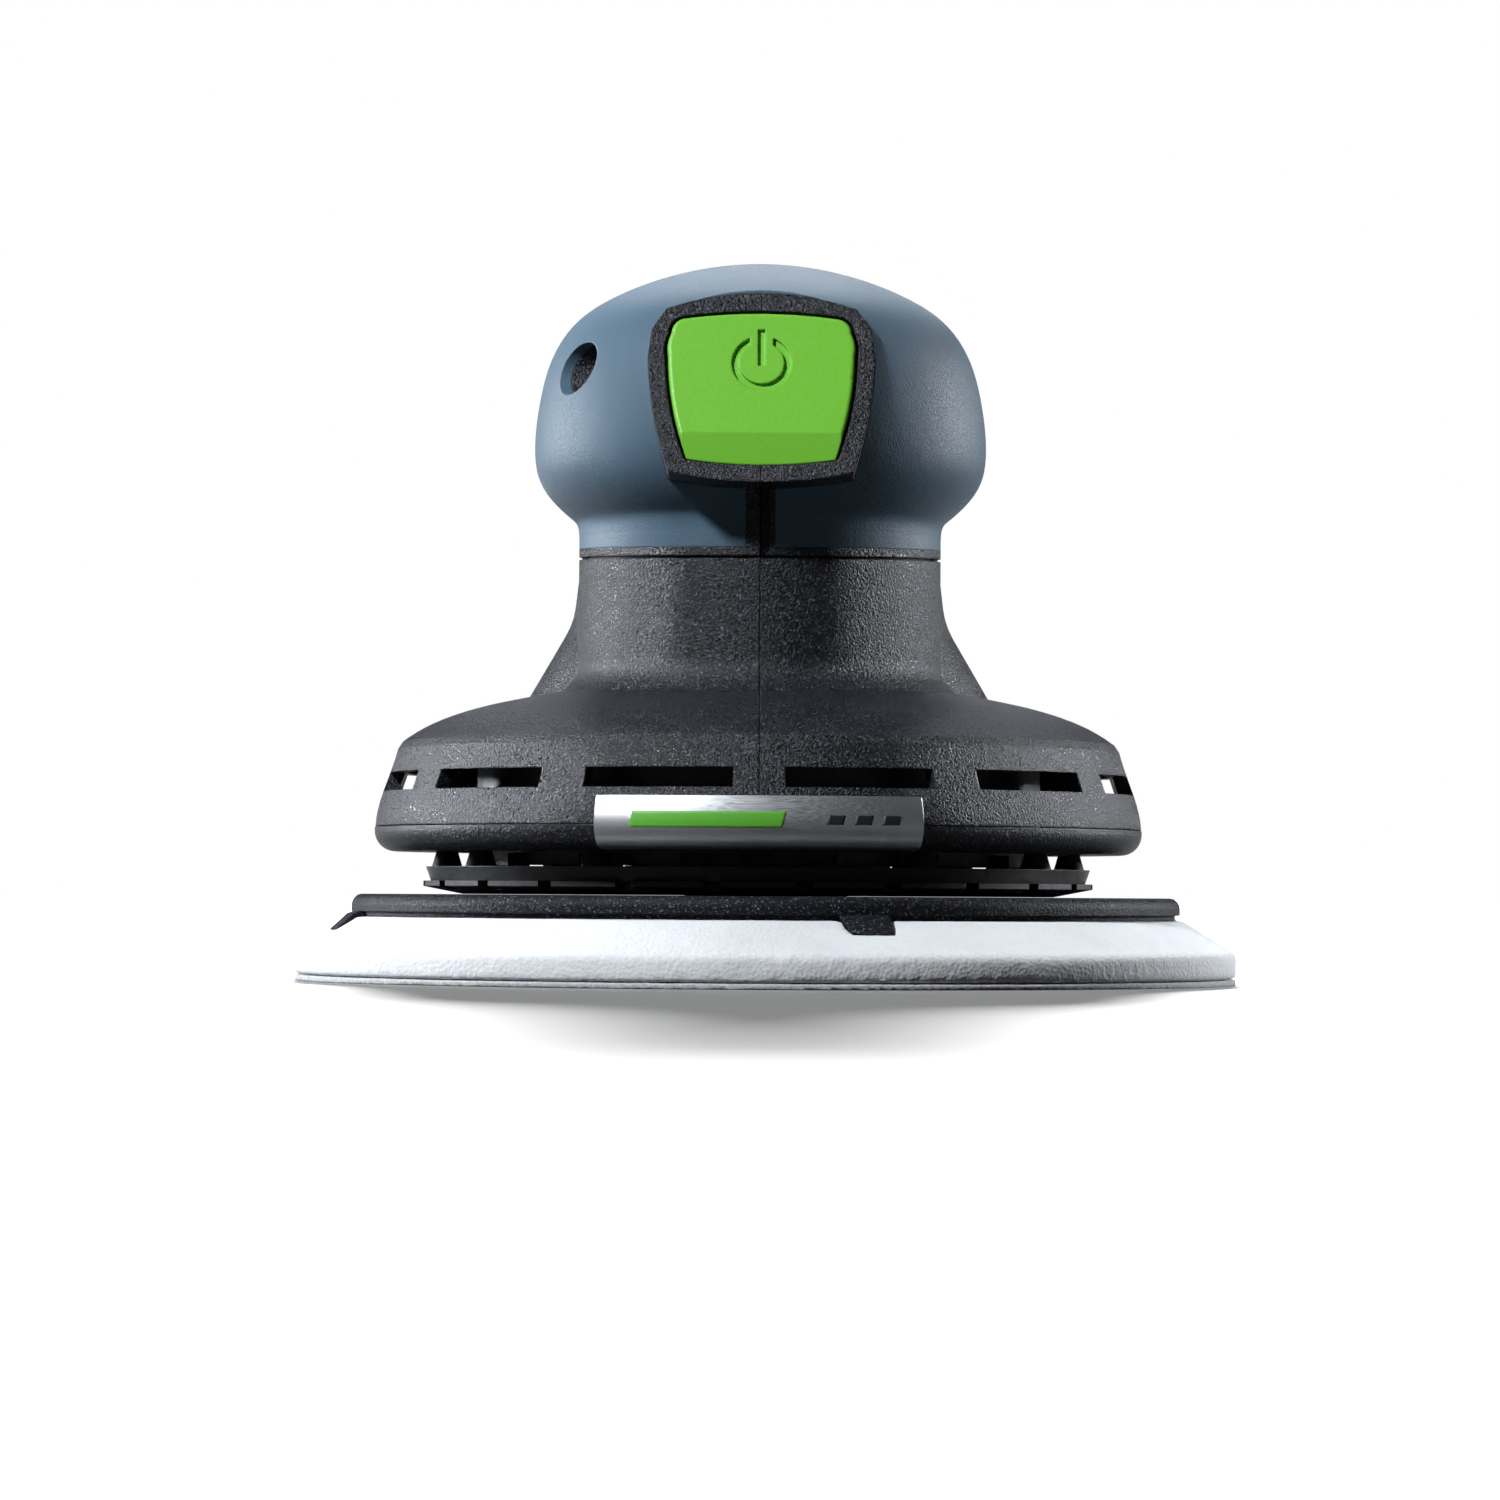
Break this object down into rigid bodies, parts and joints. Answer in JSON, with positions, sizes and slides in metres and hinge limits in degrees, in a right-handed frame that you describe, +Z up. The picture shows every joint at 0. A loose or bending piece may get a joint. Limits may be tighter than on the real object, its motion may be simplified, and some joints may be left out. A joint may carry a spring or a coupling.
{
  "type": "random-orbit sander",
  "caption": "Compact palm-grip electric sander with a round foam pad on an eccentric drive, a front power button, a soft grip and a tail for the dust hose and the lead.",
  "frame": {"origin": "where the motor's axis meets the plane of the sanding face", "axes": "+Z up along the motor's axis; +Y towards the tail, so the power button faces -Y; +X to the right of someone who looks at the button"},
  "size_m": [0.15, 0.1992, 0.1144],
  "materials": {
    "grip": "soft-touch matte",
    "shell": "spark-eroded grain",
    "gasket": "matte",
    "plate": "brushed",
    "screw": "black zinc",
    "inner_plastic": "moulded",
    "chips": "moulded",
    "steel": "ground",
    "cast": "cast",
    "laminations": "stacked sheet",
    "copper": "enamelled wire",
    "balls": "polished",
    "brass": "turned",
    "rubber": "matte",
    "board": "solder mask",
    "cans": "sleeved",
    "lead": "insulated wire",
    "button": "satin",
    "dial": "ribbed",
    "magnet": "nickel plated",
    "iron": "zinc flake",
    "fan": "glass-filled",
    "pad_plate": "moulded",
    "foam": "closed-cell foam",
    "hook": "hook tape"
  },
  "bodies": {
    "housing": {"grip_cover": "grip", "head_shell_left": "shell", "head_shell_right": "shell", "body_shell_left": "shell", "body_shell_right": "shell", "seam_gasket": "gasket", "skirt_rim": "shell", "front_plate": "plate", "head_screws": "screw", "body_screws": "screw", "rim_screws": "screw", "switch_carrier": "inner_plastic", "push_switch": "chips", "button_spring": "steel", "dial_bracket": "inner_plastic", "motor_flange": "cast", "motor_top_bracket": "cast", "stator_core": "laminations", "stator_coils": "copper", "stator_terminal": "inner_plastic", "lower_bearing_outer": "steel", "lower_bearing_balls": "balls", "upper_bearing_outer": "steel", "upper_bearing_balls": "balls", "fan_chamber": "inner_plastic", "dust_port": "shell", "power_inlet": "shell", "inlet_contacts": "brass", "cuff_carrier": "shell", "cuff_pegs": "rubber", "brake_cuff": "rubber", "control_board": "board", "board_chips": "chips", "power_module": "chips", "capacitors": "cans", "motor_leads": "lead", "inlet_leads": "lead"},
    "button": {"power_button": "button", "switch_plunger": "inner_plastic"},
    "dial": {"speed_dial": "dial", "dial_shaft": "steel"},
    "rotor": {"motor_shaft": "steel", "rotor_core": "laminations", "rotor_magnets": "magnet", "lower_bearing_inner": "steel", "upper_bearing_inner": "steel", "eccentric_hub": "cast", "hub_circlip": "steel", "counterweight": "iron", "extraction_fan": "fan", "pad_bearing_outer": "steel", "pad_bearing_balls": "balls"},
    "pad": {"pad_bearing_inner": "steel", "pad_spindle": "steel", "spindle_nut": "steel", "pad_bolt": "screw", "pad_plate": "pad_plate", "pad_foam": "foam", "hook_layer": "hook"}
  },
  "joints": [
    {"name": "motor_spin", "type": "hinge", "parent": "housing", "child": "rotor", "pos_m": [0, 0, 0.05], "axis": [0, 0, 1], "continuous": true},
    {"name": "pad_spin", "type": "hinge", "parent": "rotor", "child": "pad", "pos_m": [0.00125, -0.00217, 0.024], "axis": [0, 0, 1], "continuous": true},
    {"name": "button_press", "type": "slide", "parent": "housing", "child": "button", "axis": [0, 0.9397, -0.342], "range_m": [0, 0.0015], "stiffness_N_per_m": 800, "springref_m": -0.002, "deforming": ["button_spring"]},
    {"name": "dial_turn", "type": "hinge", "parent": "housing", "child": "dial", "pos_m": [0, 0.072, 0.071], "axis": [1, 0, 0], "range_deg": [0, 270]}
  ]
}
